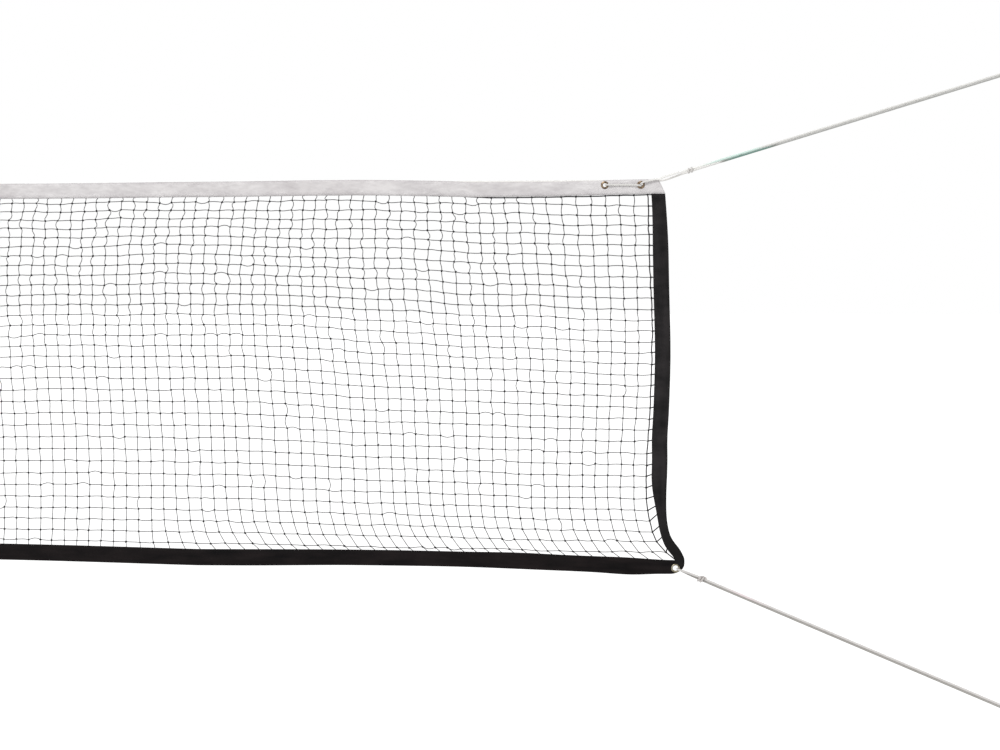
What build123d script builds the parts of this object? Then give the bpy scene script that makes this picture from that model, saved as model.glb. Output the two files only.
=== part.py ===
"""Badminton net: knotted netting with taped edges, brass eyelets and four doubled tie cords.

Millimetres. +X runs along the net to its right end, -Y is the front face and +Z is up. The
origin is on the fold of the headband, halfway along the net and through its thickness.
"""

from build123d import *
import os
from math import exp, radians, tan

os.makedirs("parts", exist_ok=True)

# The net as it hangs
net_length = 6100.0  # along the fold of the headband
net_depth = 760.0  # from the fold down to the lower edge of the bottom band
column_pitch = 25.25  # between neighbouring strands that hang
row_count = 34  # rows of meshes between the headband and the bottom band
row_gathering = 0.14  # the rows hang this share closer at the top and wider below
twine = 1.2  # thickness of the netting twine
twine_gap = 0.1  # between the strands that hang and those that cross them
end_mesh = 11.0  # from the last strand that hangs to the side band, at the top

# Coated tape, folded lengthways and sewn
tape = 0.65  # thickness of one layer
slack = 0.3  # between a soft piece and what it lies against
head_height = 27.0
head_slant = 17.0  # the headband's lower edge runs this much past its fold at each end
hem_height = 5.0  # the pressed lower edge of the headband
hem_thickness = 3.6
side_width = 28.4
corner_width = 17.0  # the side band pulled narrow near the lower corner
bottom_height = 29.0
fold_height = 2.2  # over which a side band thins to its seam under the headband
pocket_depth = 6.0  # how far the edge of the netting lies between a band's two layers
side_corners = (1, 0.83, 0.54, 0.33, 0.23, 0.16, 0.10, 0.06, 0.027, 0)  # shares of its height
corner_round = 12.0  # the bottom band's outer lower corner

# The lower corners are pulled outwards by their ties
side_offset = 11.5  # middle of the side band, outside the end of the headband's fold
side_start = 3.5  # the same at the headband, where the side band is sewn on
start_reach = 90.0  # height over which the side band runs out to side_offset
corner_pull = 38.0  # how much further out the side band ends
strand_pull = 50.0  # how much further out the last strands end
pull_reach = 36.0  # height over which the pull dies away, above the bottom band
pull_from = 1950.0  # from the middle of the net, where the strands start to lean
pull_to = 2250.0  # and where they lean fully

# Eyelets: a barrel with a domed flange at the front, rolled outwards at the back
lip = 0.9  # height of the flange and of the roll, and thickness of the barrel
roll = 1.8  # how far the roll reaches over the tape
barrel_fit = 0.05  # between a barrel and what it passes through
top_eyelet_hole = 4.0  # radius
top_eyelet_rim = 7.3  # radius
bottom_eyelet_hole = 5.6  # radius
bottom_eyelet_rim = 9.0  # radius
inner_eyelet_in = 98.5  # from the end of the headband's fold to the inner eyelet
outer_eyelet_in = 29.5  # and to the outer one
top_eyelet_drop = 10.5  # below the fold
corner_eyelet_out = 41.3  # outside the end of the headband's fold
corner_eyelet_rise = 11.3  # above the lower edge of the net

# Cords, all of one braid
cord = 3.6  # diameter
cord_sides = 6  # flats of the plain tube that stands for a cord
strand_spacing = 3.9  # between the middles of the two strands of a doubled cord
knot_length = 16.0
knot_width = 13.0
top_tie_angle = 16.7  # above the horizontal
bottom_tie_angle = -22.3
top_tie_out = 5.0  # where a top tie leaves the net, outside the end of the fold
top_tie_drop = 1.0  # and below it
top_knot_at = 62.0  # along a top tie, from where it turns
bottom_knot_at = 54.0  # along a bottom tie, from the middle of its eyelet
edge_clearance = 0.6  # how much further out a bottom tie stands, to clear the band's edge
end_knot_at = 690.0  # along each tie, to the knot that closes its end loop
end_loop_length = 60.0
end_loop_width = 21.6

half = net_length / 2
cord_radius = cord / 2
head_thickness = cord + 2 * (slack + tape)
sleeve_drop = head_thickness / 2
pocket_width = 2 * (twine_gap / 2 + twine + slack)
band_thickness = pocket_width + 2 * tape
bottom_edge = -net_depth
bottom_top = bottom_height - net_depth
hinge_height = -(head_height + slack + twine / 2)
column_span = half + side_start - side_width / 2 - end_mesh


def reach_above_bottom(z):
    """Share of a pull at the bottom band that is left at height z."""
    return exp((bottom_top - z) / pull_reach)


def ease(share):
    """Smooth step from 0 to 1."""
    share = min(1.0, max(0.0, share))
    return share * share * (3 - 2 * share)


def side_middle(z):
    """Middle of a side band at height z, outside the end of the headband's fold."""
    start = (side_start - side_offset) * exp((z + head_height) / start_reach)
    return side_offset + start + corner_pull * reach_above_bottom(z)


def side_half(z):
    """Half the width of a side band at height z."""
    narrowing = ease((bottom_top + 4.5 * pull_reach - z) / (2.5 * pull_reach))
    return (side_width + (corner_width - side_width) * narrowing) / 2


def inner_edge(z):
    """Where the inner edge of the right side band is at height z."""
    return half + side_middle(z) - side_half(z)


def outer_edge(z):
    """Where the outer edge of the right side band is at height z."""
    return half + side_middle(z) + side_half(z)


def strand_at(x, z):
    """Where the strand that starts at x under the headband is at height z."""
    share = ease((abs(x) - pull_from) / (pull_to - pull_from))
    pull = strand_pull * share * reach_above_bottom(z)
    return x + pull if x > 0 else x - pull


def row_height(row):
    """Height of a row of knots, counted from the headband."""
    share = row / row_count
    drop = share * (1 - row_gathering + row_gathering * share)
    return -head_height + (bottom_top + head_height) * drop


def slab(outline, back, front):
    """A flat piece from an outline of (x, z) points, from y = front to y = back."""
    face = Plane.XZ * make_face(Polyline(*outline, close=True))
    return Pos(0, back, 0) * extrude(face, back - front)


def hanging_strand(x):
    """One strand from under the headband into the pocket of the bottom band."""
    top = hinge_height - twine / 2
    low = bottom_top - pocket_depth + slack
    heights = [top, low]
    if strand_at(x, bottom_top) != x:
        heights = [top, bottom_top + 2.2 * pull_reach, bottom_top + 0.8 * pull_reach, low]
    line = [(strand_at(x, z), z) for z in heights]
    left = [(px - twine / 2, pz) for px, pz in line]
    right = [(px + twine / 2, pz) for px, pz in line]
    return slab(left + right[::-1], -twine_gap / 2, -twine_gap / 2 - twine)


def crossing_strand(row):
    """One strand from the pocket of one side band to the pocket of the other."""
    z = row_height(row)
    reach = inner_edge(z) + pocket_depth - 1
    low, high = z - twine / 2, z + twine / 2
    outline = [(-reach, low), (reach, low), (reach, high), (-reach, high)]
    return slab(outline, twine_gap / 2 + twine, twine_gap / 2)


def netting():
    """All strands, those that hang in front of those that cross, and the top line."""
    columns = round(2 * column_span / column_pitch)
    pitch = 2 * column_span / columns
    strands = [hanging_strand(-column_span + i * pitch) for i in range(columns + 1)]
    strands += [crossing_strand(row) for row in range(1, row_count)]
    reach = inner_edge(hinge_height) - slack
    strands.append(Pos(0, 0, hinge_height) * Box(2 * reach, twine, twine))
    return Compound(children=strands)


def bend_radii(points):
    """The radius of each bend of a cord: as large as its two runs leave room for."""
    line = [Vector(*p) for p in points]
    radii = []
    for before, here, after in zip(line, line[1:], line[2:]):
        turn = (here - before).get_angle(after - here)
        shorter = min((here - before).length, (after - here).length)
        radii.append(0.45 * shorter / tan(radians(turn) / 2))
    return radii


def rope(points, tight=None):
    """A cord along points. tight gives the radius of a bend that goes round something."""
    radii = bend_radii(points)
    for number, radius in (tight or {}).items():
        radii[number] = radius
    print("bends", [round(radius, 1) for radius in radii])
    path = FilletPolyline(*points, radius=radii) if radii else Line(*points)
    section = RegularPolygon(cord_radius, cord_sides)
    solid = sweep(Plane(origin=path @ 0, z_dir=path % 0) * section, path=path)
    share = solid.volume / (section.area * path.length)
    print("length", round(path.length, 1), "volume share", round(share, 4))
    return solid


def strand(start, end):
    """A straight cord, square-cut across X at both ends."""
    section = Plane(origin=start, z_dir=(1, 0, 0)) * RegularPolygon(cord_radius, cord_sides)
    way = Vector(*end) - Vector(*start)
    return extrude(section, way.length, dir=way)


def eyelet_hole(x, z, hole):
    """The hole that a band has for the barrel of an eyelet."""
    radius = hole + lip + barrel_fit
    return Pos(x, 0, z) * Rot(90, 0, 0) * Cylinder(radius, 4 * head_thickness)


def eyelet(hole, rim, thickness):
    """Barrel with its domed flange in front of a band, and rolled over at the back."""
    front = -thickness / 2
    back = thickness / 2
    wall = hole + lip
    profile = [
        (hole, front - lip),
        (rim, front),
        (wall, front),
        (wall, back),
        (wall + roll, back),
        (hole, back + lip),
    ]
    return revolve(make_face(Polyline(*profile, close=True)), Axis.Y)


def at_both_ends(piece):
    """A piece of the right end of the net, and the same mirrored for the left one."""
    return Compound(children=[piece, mirror(piece, Plane.YZ)])


def headband():
    """Tape folded over the head cord and sewn together under it, with slanting ends."""
    edge = head_thickness / 2
    hem = hem_thickness / 2
    low = -head_height
    pressed = low + hem_height
    flat = pressed + 3
    section = make_face([
        ThreePointArc((-edge, -edge), (0, 0), (edge, -edge)),
        Polyline((edge, -edge), (edge, flat), (hem, pressed), (hem, low), (-hem, low)),
        Polyline((-hem, low), (-hem, pressed), (-edge, flat), (-edge, -edge)),
    ])
    reach = half + head_slant
    band = Pos(-reach, 0, 0) * extrude(Plane.YZ * section, 2 * reach)
    slant = head_slant / head_height
    beyond = [(half - slant, 1), (reach + slant, 1), (reach + slant, low - 1)]
    cut = slab(beyond, head_thickness, -head_thickness)
    band -= cut
    band -= mirror(cut, Plane.YZ)
    tunnel = Plane.YZ * RegularPolygon(cord_radius + slack, 8, major_radius=False)
    band -= Pos(0, 0, -sleeve_drop) * extrude(tunnel, reach, both=True)
    for place in (inner_eyelet_in, outer_eyelet_in):
        for side in (-1, 1):
            x = side * (half - place)
            band -= eyelet_hole(x, -top_eyelet_drop, top_eyelet_hole)
    return band


def head_cord():
    """Cord along the fold, from one inner eyelet to the other."""
    reach = half - inner_eyelet_in - top_eyelet_hole - lip - slack
    return strand((-reach, 0, -sleeve_drop), (reach, 0, -sleeve_drop))


def side_band():
    """Right side band, folded thin under the headband, with a pocket for the netting."""
    top = hinge_height + twine / 2
    heights = [bottom_top + (top - bottom_top) * share for share in side_corners]
    inside = [(inner_edge(z), z) for z in heights]
    outside = [(outer_edge(z), z) for z in reversed(heights)]
    band = slab(inside + outside, band_thickness / 2, -band_thickness / 2)
    edge = band_thickness / 2
    nose = twine / 2
    folded = hinge_height - fold_height
    section = make_face([
        ThreePointArc((-nose, hinge_height), (0, top), (nose, hinge_height)),
        Polyline((nose, hinge_height), (edge, folded), (edge, bottom_top)),
        Polyline((edge, bottom_top), (-edge, bottom_top), (-edge, folded)),
        Line((-edge, folded), (-nose, hinge_height)),
    ])
    band &= Pos(half - side_width, 0, 0) * extrude(Plane.YZ * section, 4 * side_width)
    mouth = [(x - 1, z) for x, z in inside]
    depth = [(x + pocket_depth, z) for x, z in reversed(inside)]
    return band - slab(mouth + depth, pocket_width / 2, -pocket_width / 2)


def bottom_band():
    """Tape folded over the lower edge of the netting, out to both lower corners."""
    corner = outer_edge(bottom_top)
    right = [(corner, bottom_top), (corner + 0.5, bottom_top - 6)]
    right.append((corner - 5, bottom_edge))
    outline = right + [(-x, z) for x, z in reversed(right)]
    face = make_face(Polyline(*outline, close=True))
    lower = [v for v in face.vertices() if abs(v.Y - bottom_edge) < 0.01]
    face = Plane.XZ * fillet(lower, corner_round)
    band = Pos(0, band_thickness / 2, 0) * extrude(face, band_thickness)
    reach = inner_edge(bottom_top)
    pocket = Box(2 * reach, pocket_width, 2 * pocket_depth)
    band -= Pos(0, 0, bottom_top) * pocket
    for side in (-1, 1):
        x = side * (half + corner_eyelet_out)
        band -= eyelet_hole(x, bottom_edge + corner_eyelet_rise, bottom_eyelet_hole)
    return band


def tip(place, along):
    """Tapered end of a cord where it turns, so that both sides clear each other."""
    section = Plane(origin=place, z_dir=along) * RegularPolygon(cord_radius, cord_sides)
    return extrude(section, cord_radius - slack, taper=45)


def in_front(thickness):
    """Middle of a cord that lies on the front flange of an eyelet."""
    return -(thickness / 2 + lip + slack + cord_radius)


def behind(thickness):
    """Middle of a cord that lies on the roll of an eyelet."""
    return thickness / 2 + lip + slack + cord_radius


def knot(at):
    """Overhand knot in both strands of a tie, as a plain barrel."""
    barrel = extrude(Plane.YZ * RegularPolygon(knot_width / 2, 8), knot_length / 2, both=True)
    ends = barrel.faces().sort_by(Axis.X)
    taper = knot_width / 2 - strand_spacing / 2 - cord_radius - 0.3
    barrel = chamfer(ends[0].edges() + ends[-1].edges(), taper)
    return Pos(at, 0, 0) * barrel


def doubled_run(first_knot):
    """Both strands from a tie's first knot to its end knot, and the loop beyond."""
    start = first_knot + knot_length / 2
    stop = end_knot_at - knot_length / 2
    near = strand_spacing / 2
    runs = [strand((start, 0, z), (stop, 0, z)) for z in (near, -near)]
    mouth = end_knot_at + knot_length / 2 + slack
    end = mouth + end_loop_length
    wide = end_loop_width / 2 - cord_radius
    turn = 0.85 * wide
    loop = [(mouth, 0, near), (end, 0, wide), (end, 0, -wide), (mouth, 0, -near)]
    return [*runs, rope(loop, {0: turn, 1: turn})]


def top_tie():
    """Right top tie: two strands from the headband's corner, then doubled to its loop."""
    start = cord_radius + slack
    stop = top_knot_at - knot_length / 2
    near = strand_spacing / 2
    legs = []
    for y, z in ((in_front(head_thickness), near), (behind(head_thickness), -near)):
        leg = strand((start, y, 0), (stop, 0, z))
        legs.append(leg + tip((start, y, 0), (-1, 0, 0)))
    return Compound(children=legs + doubled_run(top_knot_at))


def bottom_tie():
    """Right bottom tie: looped through the corner eyelet, then doubled to its loop."""
    hold = bottom_eyelet_hole - slack - cord_radius
    stop = bottom_knot_at - knot_length / 2 - slack
    near = strand_spacing / 2
    front = in_front(band_thickness) - edge_clearance
    back = behind(band_thickness) + edge_clearance
    points = [(stop, -near, 0), (hold, front, 0), (hold, back, 0), (stop, near, 0)]
    around = cord_radius + slack
    loop = rope(points, {0: around, 1: around})
    return Compound(children=[loop, *doubled_run(bottom_knot_at)])


def lacing_cord():
    """Right lacing: from the corner through the outer eyelet, along the back, through the
    inner eyelet, along the front and through the outer eyelet again to the back corner."""
    front = in_front(head_thickness)
    back = behind(head_thickness)
    corner = half + top_tie_out - cord_radius
    outer = half - outer_eyelet_in
    inner = half - inner_eyelet_in + top_eyelet_hole - slack - cord_radius
    apart = strand_spacing / 2
    upper = -top_eyelet_drop + apart
    lower = -top_eyelet_drop - apart
    tilt = apart / 3
    points = [
        (corner, front, -top_tie_drop),
        (outer, front, upper),
        (outer, back, upper),
        (inner, back, upper - tilt),
        (inner, front, lower + tilt),
        (outer, front, lower),
        (outer, back, lower),
        (corner, back, -top_tie_drop),
    ]
    around = cord_radius + slack
    wide = top_eyelet_hole
    line = rope(points, {0: wide, 1: wide, 2: around, 3: around, 4: wide, 5: wide})
    for end, before in ((points[0], points[1]), (points[-1], points[-2])):
        line += tip(end, Vector(*end) - Vector(*before))
    return line


pieces = {
    "netting": netting(),
    "headband": headband(),
    "head_cord": head_cord(),
    "bottom_band": bottom_band(),
}

corner_place = Pos(half + corner_eyelet_out, 0, bottom_edge + corner_eyelet_rise)
top_eyelet = eyelet(top_eyelet_hole, top_eyelet_rim, head_thickness)
corner_eyelet = eyelet(bottom_eyelet_hole, bottom_eyelet_rim, band_thickness)
inner_place = Pos(half - inner_eyelet_in, 0, -top_eyelet_drop)
outer_place = Pos(half - outer_eyelet_in, 0, -top_eyelet_drop)
pieces["inner_eyelets"] = at_both_ends(inner_place * top_eyelet)
pieces["outer_eyelets"] = at_both_ends(outer_place * top_eyelet)
pieces["corner_eyelets"] = at_both_ends(corner_place * corner_eyelet)
pieces["lacing_cords"] = at_both_ends(lacing_cord())

# What is made for the right end, and mirrored for the left one
top_turn = Pos(half + top_tie_out, 0, -top_tie_drop) * Rot(0, -top_tie_angle, 0)
bottom_turn = corner_place * Rot(0, -bottom_tie_angle, 0)
ends = {
    "side_band": side_band(),
    "top_tie": top_turn * top_tie(),
    "top_tie_knot": top_turn * knot(top_knot_at),
    "top_tie_end_knot": top_turn * knot(end_knot_at),
    "bottom_tie": bottom_turn * bottom_tie(),
    "bottom_tie_knot": bottom_turn * knot(bottom_knot_at),
    "bottom_tie_end_knot": bottom_turn * knot(end_knot_at),
}
for name, shape in ends.items():
    pieces[f"{name}_right"] = shape
    pieces[f"{name}_left"] = mirror(shape, Plane.YZ)

for name, shape in pieces.items():
    export_step(shape, f"parts/{name}.step")
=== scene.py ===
import random
from math import cos, exp, pi, radians, sin, sqrt

import bmesh
import bpy
from mathutils import Euler, Matrix, Vector, noise


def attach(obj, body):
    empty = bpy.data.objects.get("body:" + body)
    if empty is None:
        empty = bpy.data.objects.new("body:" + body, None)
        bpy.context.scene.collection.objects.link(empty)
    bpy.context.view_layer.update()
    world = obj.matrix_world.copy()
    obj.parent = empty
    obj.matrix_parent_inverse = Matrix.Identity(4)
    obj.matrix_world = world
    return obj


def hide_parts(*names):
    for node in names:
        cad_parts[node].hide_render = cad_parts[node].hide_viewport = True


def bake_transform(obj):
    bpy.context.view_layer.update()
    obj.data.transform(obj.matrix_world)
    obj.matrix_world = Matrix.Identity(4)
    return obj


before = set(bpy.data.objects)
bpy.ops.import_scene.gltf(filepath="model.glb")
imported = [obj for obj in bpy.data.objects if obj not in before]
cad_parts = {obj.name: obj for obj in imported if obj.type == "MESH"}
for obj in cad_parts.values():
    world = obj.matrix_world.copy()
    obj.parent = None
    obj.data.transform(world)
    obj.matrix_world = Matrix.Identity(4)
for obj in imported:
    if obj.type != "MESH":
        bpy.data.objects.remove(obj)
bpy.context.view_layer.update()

# ---------------------------------------------------------------------------------------
# Camera. It looks at the right end of the net from the front, level with its middle, and
# takes in about a seventh of the net's length.


def placed(name, data):
    """A new object in the scene."""
    piece = bpy.data.objects.new(name, data)
    bpy.context.scene.collection.objects.link(piece)
    return piece


camera = placed("camera", bpy.data.cameras.new("camera"))
camera.data.lens = 55.37
camera.data.clip_end = 200
camera.location = (3.06826, -2.96952, -0.19293)
camera.rotation_euler = (radians(86.484), 0, radians(6.128))
bpy.context.scene.camera = camera

# ---------------------------------------------------------------------------------------
# Tie cords. Each is one braided cord of 3.6 mm, folded in half: it leaves the net on both
# faces, is knotted close to it, runs on doubled and ends in a knotted loop for the post.
# Cords are given in metres, and everything sewn or netted in millimetres.

MM = 0.001
HALF = 3050.0  # mm, from the middle of the net to the end of the headband's fold
FOLD_END = HALF / 1000
CORNER_OUT, CORNER_HEIGHT = 41.3, -748.7  # mm, middle of the corner eyelet from that end
CORD = 0.0036
SOFT_CORD = 0.0042  # where it isn't pulled tight
BESIDE = 0.00195  # from the middle of a doubled cord to that of each strand
TIE_LINE = 1.526  # the same without the cord taken up in the knots
PLAIT = 0.0034  # along the cord, from one plait to the next
PLAITS = 16  # round the cord, half of them each way


def adder(tree):
    """A function that adds a node to a tree, with its settings and wires."""

    def add(kind, settings=None, **wires):
        node = tree.nodes.new("ShaderNode" + kind)
        for key, value in (settings or {}).items():
            setattr(node, key, value)
        for key, value in wires.items():
            numbered = key[0] == "i" and key[1:].isdigit()
            socket = node.inputs[int(key[1:]) if numbered else key]
            if hasattr(value, "links"):
                tree.links.new(value, socket)
            else:
                socket.default_value = value
        return node

    return add


def plain_material(name, roughness, metallic=0.0):
    """A new material with its shader, and a function that adds a wired node."""
    material = bpy.data.materials.new(name)
    material.use_nodes = True
    shader = material.node_tree.nodes["Principled BSDF"]
    shader.inputs["Roughness"].default_value = roughness
    shader.inputs["Metallic"].default_value = metallic
    return material, shader, adder(material.node_tree)


def wire(shader, name, value):
    """The shader takes one of its inputs from a pattern."""
    shader.id_data.links.new(value, shader.inputs[name])


def calc(add, operation, first, second=0.0):
    """One sum of a pattern."""
    return add("Math", {"operation": operation}, i0=first, i1=second).outputs[0]


def cloudy(add, place, scale, detail):
    """Cloudy noise over a place."""
    return add("TexNoise", Vector=place, Scale=scale, Detail=detail).outputs["Fac"]


def tinted(add, colour, tint, share=1.0):
    """A colour multiplied by a share of a tint."""
    return add("MixRGB", {"blend_type": "MULTIPLY"}, i0=share, i1=colour, i2=tint).outputs[0]


def relief(add, shader, height, strength, depth):
    """The surface gets a fine relief, its depth in metres."""
    bump = add("Bump", Strength=strength, Distance=depth, Height=height)
    wire(shader, "Normal", bump.outputs[0])


def ramp(add, value, stops):
    """Colours along a value."""
    node = add("ValToRGB", i0=value)
    elements = node.color_ramp.elements
    while len(elements) < len(stops):
        elements.new(1.0)
    for element, (place, colour) in zip(elements, stops):
        element.position = place
        element.color = (*colour, 1)
    return node.outputs["Color"]


def srgb(text):
    """A colour such as dcdad9 as linear shares of red, green and blue."""
    shares = [int(text[i:i + 2], 16) / 255 for i in (0, 2, 4)]
    return tuple(s / 12.92 if s < 0.04045 else ((s + 0.055) / 1.055) ** 2.4 for s in shares)


def braid_material(name, stops, length):
    """White cord: a braid all round it. Its UV map runs in metres along the cord."""
    material, shader, add = plain_material(name, 0.72)
    place = add("TexCoord")
    uv = add("SeparateXYZ", i0=place.outputs["UV"])
    along = calc(add, "MULTIPLY", uv.outputs[0], 2 * pi / PLAIT)
    around = calc(add, "MULTIPLY", uv.outputs[1], PLAITS / 4 * 2 * pi)
    one_way = calc(add, "ABSOLUTE", calc(add, "SINE", calc(add, "ADD", along, around)))
    other_way = calc(add, "ABSOLUTE", calc(add, "SINE", calc(add, "SUBTRACT", along, around)))
    plaits = calc(add, "MAXIMUM", one_way, other_way)
    shaded = ramp(add, plaits, [(0.35, (0.82, 0.81, 0.80)), (0.80, (1.0, 1.0, 1.0))])
    patches = cloudy(add, place.outputs["Object"], 38.0, 3.0)
    worn = ramp(add, patches, [(0.35, (0.92, 0.92, 0.91)), (0.62, (1.0, 1.0, 1.0))])
    colour = ramp(add, calc(add, "DIVIDE", uv.outputs[0], length), stops)
    colour = tinted(add, tinted(add, colour, shaded, 0.8), worn, 0.7)
    wire(shader, "Base Color", colour)
    relief(add, shader, plaits, 0.5, 0.0003)
    shader.inputs["Sheen Weight"].default_value = 0.1
    return material


def final_mesh(piece):
    """The mesh of a piece with its modifiers, or with its curve's thickness."""
    graph = bpy.context.evaluated_depsgraph_get()
    return bpy.data.meshes.new_from_object(piece.evaluated_get(graph))


def as_mesh(piece):
    """The final mesh of a piece, and the piece gone."""
    mesh = final_mesh(piece)
    bpy.data.objects.remove(piece)
    return mesh


def cord_line(name, points, thickness=CORD):
    """A round cord along one smooth line, and the points of that line."""
    found = {}
    for what, depth in (("line", 0.0), ("tube", thickness / 2)):
        curve = bpy.data.curves.new(f"{name}_{what}", "CURVE")
        curve.dimensions = "3D"
        spline = curve.splines.new("NURBS")
        spline.points.add(len(points) - 1)
        for control, place in zip(spline.points, points):
            control.co = (*place, 1)
        spline.order_u = 3
        spline.use_endpoint_u = True
        curve.resolution_u = 16
        curve.bevel_depth = depth
        curve.bevel_resolution = 4
        curve.use_fill_caps = True
        found[what] = as_mesh(placed(f"{name}_{what}", curve))
    line = [v.co.copy() for v in found["line"].vertices]
    lengths = [0.0]
    for before, after in zip(line, line[1:]):
        lengths.append(lengths[-1] + (after - before).length)
    mesh = found["tube"]
    for corner in mesh.uv_layers[0].data:
        ring = corner.uv[0] * (len(line) - 1)
        low = min(int(ring), len(line) - 2)
        corner.uv[0] = lengths[low] + (ring - low) * (lengths[low + 1] - lengths[low])
    return placed(name, mesh), line


def tie_place(out, height, dip):
    """Where a right tie turns, in mm from the end of the fold, with X along the tie."""
    sloped = Euler((0, radians(dip), 0)).to_matrix().to_4x4()
    return Matrix.Translation((FOLD_END + out / 1000, 0, height / 1000)) @ sloped


def mirrored(side):
    """What turns the right end's places into those of an end."""
    return Matrix.Diagonal((1 if side == "right" else -1, 1, 1, 1))


snow = srgb("f8f7f4")
white = srgb("efedea")
pale = srgb("e2e1de")
dim_white = srgb("dddbd8")
warm = srgb("d6d3d1")
lower_strand_shade = srgb("b4b4b1")
bottom_lower_strand_shade = srgb("a5a29e")
shade = srgb("8d8d89")
mint = srgb("d5ece4")
mint_in_shade = srgb("6f8f85")
# Colours along each tie's line. Its second half is the lower strand, at the back, painted grey
# as shade; the top tie's stretch of mint is painted darker there, as shade, than on the upper
# strand.
TOP_STOPS = [(0.0, snow), (0.052, snow), (0.080, mint), (0.125, mint), (0.137, pale),
             (0.485, pale), (0.50, lower_strand_shade), (0.845, lower_strand_shade), (0.850, shade), (0.862, mint_in_shade),
             (0.905, mint_in_shade), (0.917, shade), (0.922, pale), (1.0, white)]
BOTTOM_STOPS = [(0.0, warm), (0.07, warm), (0.09, srgb("ecdfe1")), (0.13, warm), (0.48, warm),
                (0.50, bottom_lower_strand_shade), (0.985, bottom_lower_strand_shade), (0.995, warm), (1.0, warm)]
top_cord = braid_material("white_braid_top", TOP_STOPS, TIE_LINE)
bottom_cord = braid_material("white_braid_bottom", BOTTOM_STOPS, TIE_LINE)

# Along each tie from where it turns, towards the front and up
DOUBLED_AND_LOOP = [
    (0.682, 0, BESIDE),
    (0.6983, 0, BESIDE),
    (0.7583, 0, 0.009),
    (0.7583, 0, -0.009),
    (0.6983, 0, -BESIDE),
    (0.682, 0, -BESIDE),
]
TOP_TIE = [
    (-0.0009, -0.00575, 0.0004),
    (0.0040, -0.00575, 0.0022),
    (0.0280, -0.0042, 0.0026),
    (0.054, 0, BESIDE),
    (0.070, 0, BESIDE),
    *DOUBLED_AND_LOOP,
    (0.070, 0, -BESIDE),
    (0.054, 0, -BESIDE),
    (0.0280, 0.0042, -0.0028),
    (0.0060, 0.00575, -0.0036),
    (-0.0009, 0.00575, -0.0006),
]
BOTTOM_TIE = [
    (0.0035, 0.0001, 0),
    (0.0035, -0.0066, 0),
    (0.0120, -0.0074, 0.0012),
    (0.0250, -0.0045, 0.0017),
    (0.0400, -0.0020, 0.0019),
    (0.062, 0, BESIDE),
    *DOUBLED_AND_LOOP,
    (0.062, 0, -BESIDE),
    (0.0400, 0.0020, -0.0019),
    (0.0250, 0.0045, -0.0018),
    (0.0120, 0.0074, -0.0017),
    (0.0035, 0.0066, 0),
    (0.0035, -0.0001, 0),
]
TOP_TURN = tie_place(5.0, -1.0, -16.7)
BOTTOM_TURN = tie_place(CORNER_OUT, CORNER_HEIGHT, 22.3)

# ---------------------------------------------------------------------------------------
# Knots of the ties: an overhand knot in both strands, pulled tight, near the net and
# before the end loop. The turns of the cord lie slanting over the strands that go through.

END_KNOT = 0.690  # along each tie
KNOT_STEPS = 18
KNOT_LEAN = 0.0026  # how far a turn slants along the tie
TUCKED = 0.0024  # off the middle, where the ends of the turns slip under


def knot_turns(name, centre, place, start, wound, thickness):
    """The turns of one knot round the doubled strands, from a starting angle."""
    turns, reach, lie = wound
    points = []
    for step in range(KNOT_STEPS + 1):
        share = step / KNOT_STEPS
        angle = start + share * turns * 2 * pi
        out = lie if 1 < step < KNOT_STEPS - 1 else TUCKED
        along = centre - reach + 2 * reach * share + KNOT_LEAN * sin(angle)
        points.append(place @ Vector((along, out * cos(angle), out * sin(angle))))
    return cord_line(name, points, thickness)[0]


def knot_material(name, start, end):
    """Braided cord that runs from one colour to another along the turns of a knot."""
    return braid_material(name, [(0.0, srgb(start)), (1.0, srgb(end))], 0.08)


# The knots' cord is greyer than the ties': painted shade in the turns of each knot.
top_knot_shaded_braid = knot_material("white_braid_top_knot_shaded", "d0cdca", "dedbd8")
bottom_knot_shaded_braid = knot_material("white_braid_bottom_knot_shaded", "bfbab8", "cec9c6")
# Route, place, thickness, cord and knot material, the first knot's middle along the tie,
# and the knots' number of turns, reach along the tie and distance off its middle
TIES = {
    "top": (TOP_TIE, TOP_TURN, CORD, top_cord, top_knot_shaded_braid,
            0.062, (2.1, 0.0066, 0.0040)),
    "bottom": (BOTTOM_TIE, BOTTOM_TURN, SOFT_CORD, bottom_cord, bottom_knot_shaded_braid,
               0.054, (2.4, 0.0060, 0.0058)),
}
for side in ("right", "left"):
    for level, (route, turn, thickness, material, knot_finish, first, wound) in TIES.items():
        place = mirrored(side) @ turn
        points = [place @ Vector(p) for p in route]
        tie, line = cord_line(f"{level}_cord_{side}", points, thickness)
        near_knot = knot_turns(f"{level}_knot_{side}", first, place, 0.4, wound, thickness)
        end_knot = knot_turns(f"{level}_end_knot_{side}", END_KNOT, place, 1.3, wound, thickness)
        for piece, node, finish in (
            (tie, f"{level}_tie_{side}", material),
            (near_knot, f"{level}_tie_knot_{side}", knot_finish),
            (end_knot, f"{level}_tie_end_knot_{side}", knot_finish),
        ):
            piece.data.materials.append(finish)
            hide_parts(node)
            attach(piece, f"{level}_tie_{side}")

# ---------------------------------------------------------------------------------------
# Lacing. At each end the same cord comes from the corner through the outer eyelet, along
# the back, through the inner eyelet, along the front and through the outer one again.

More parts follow.
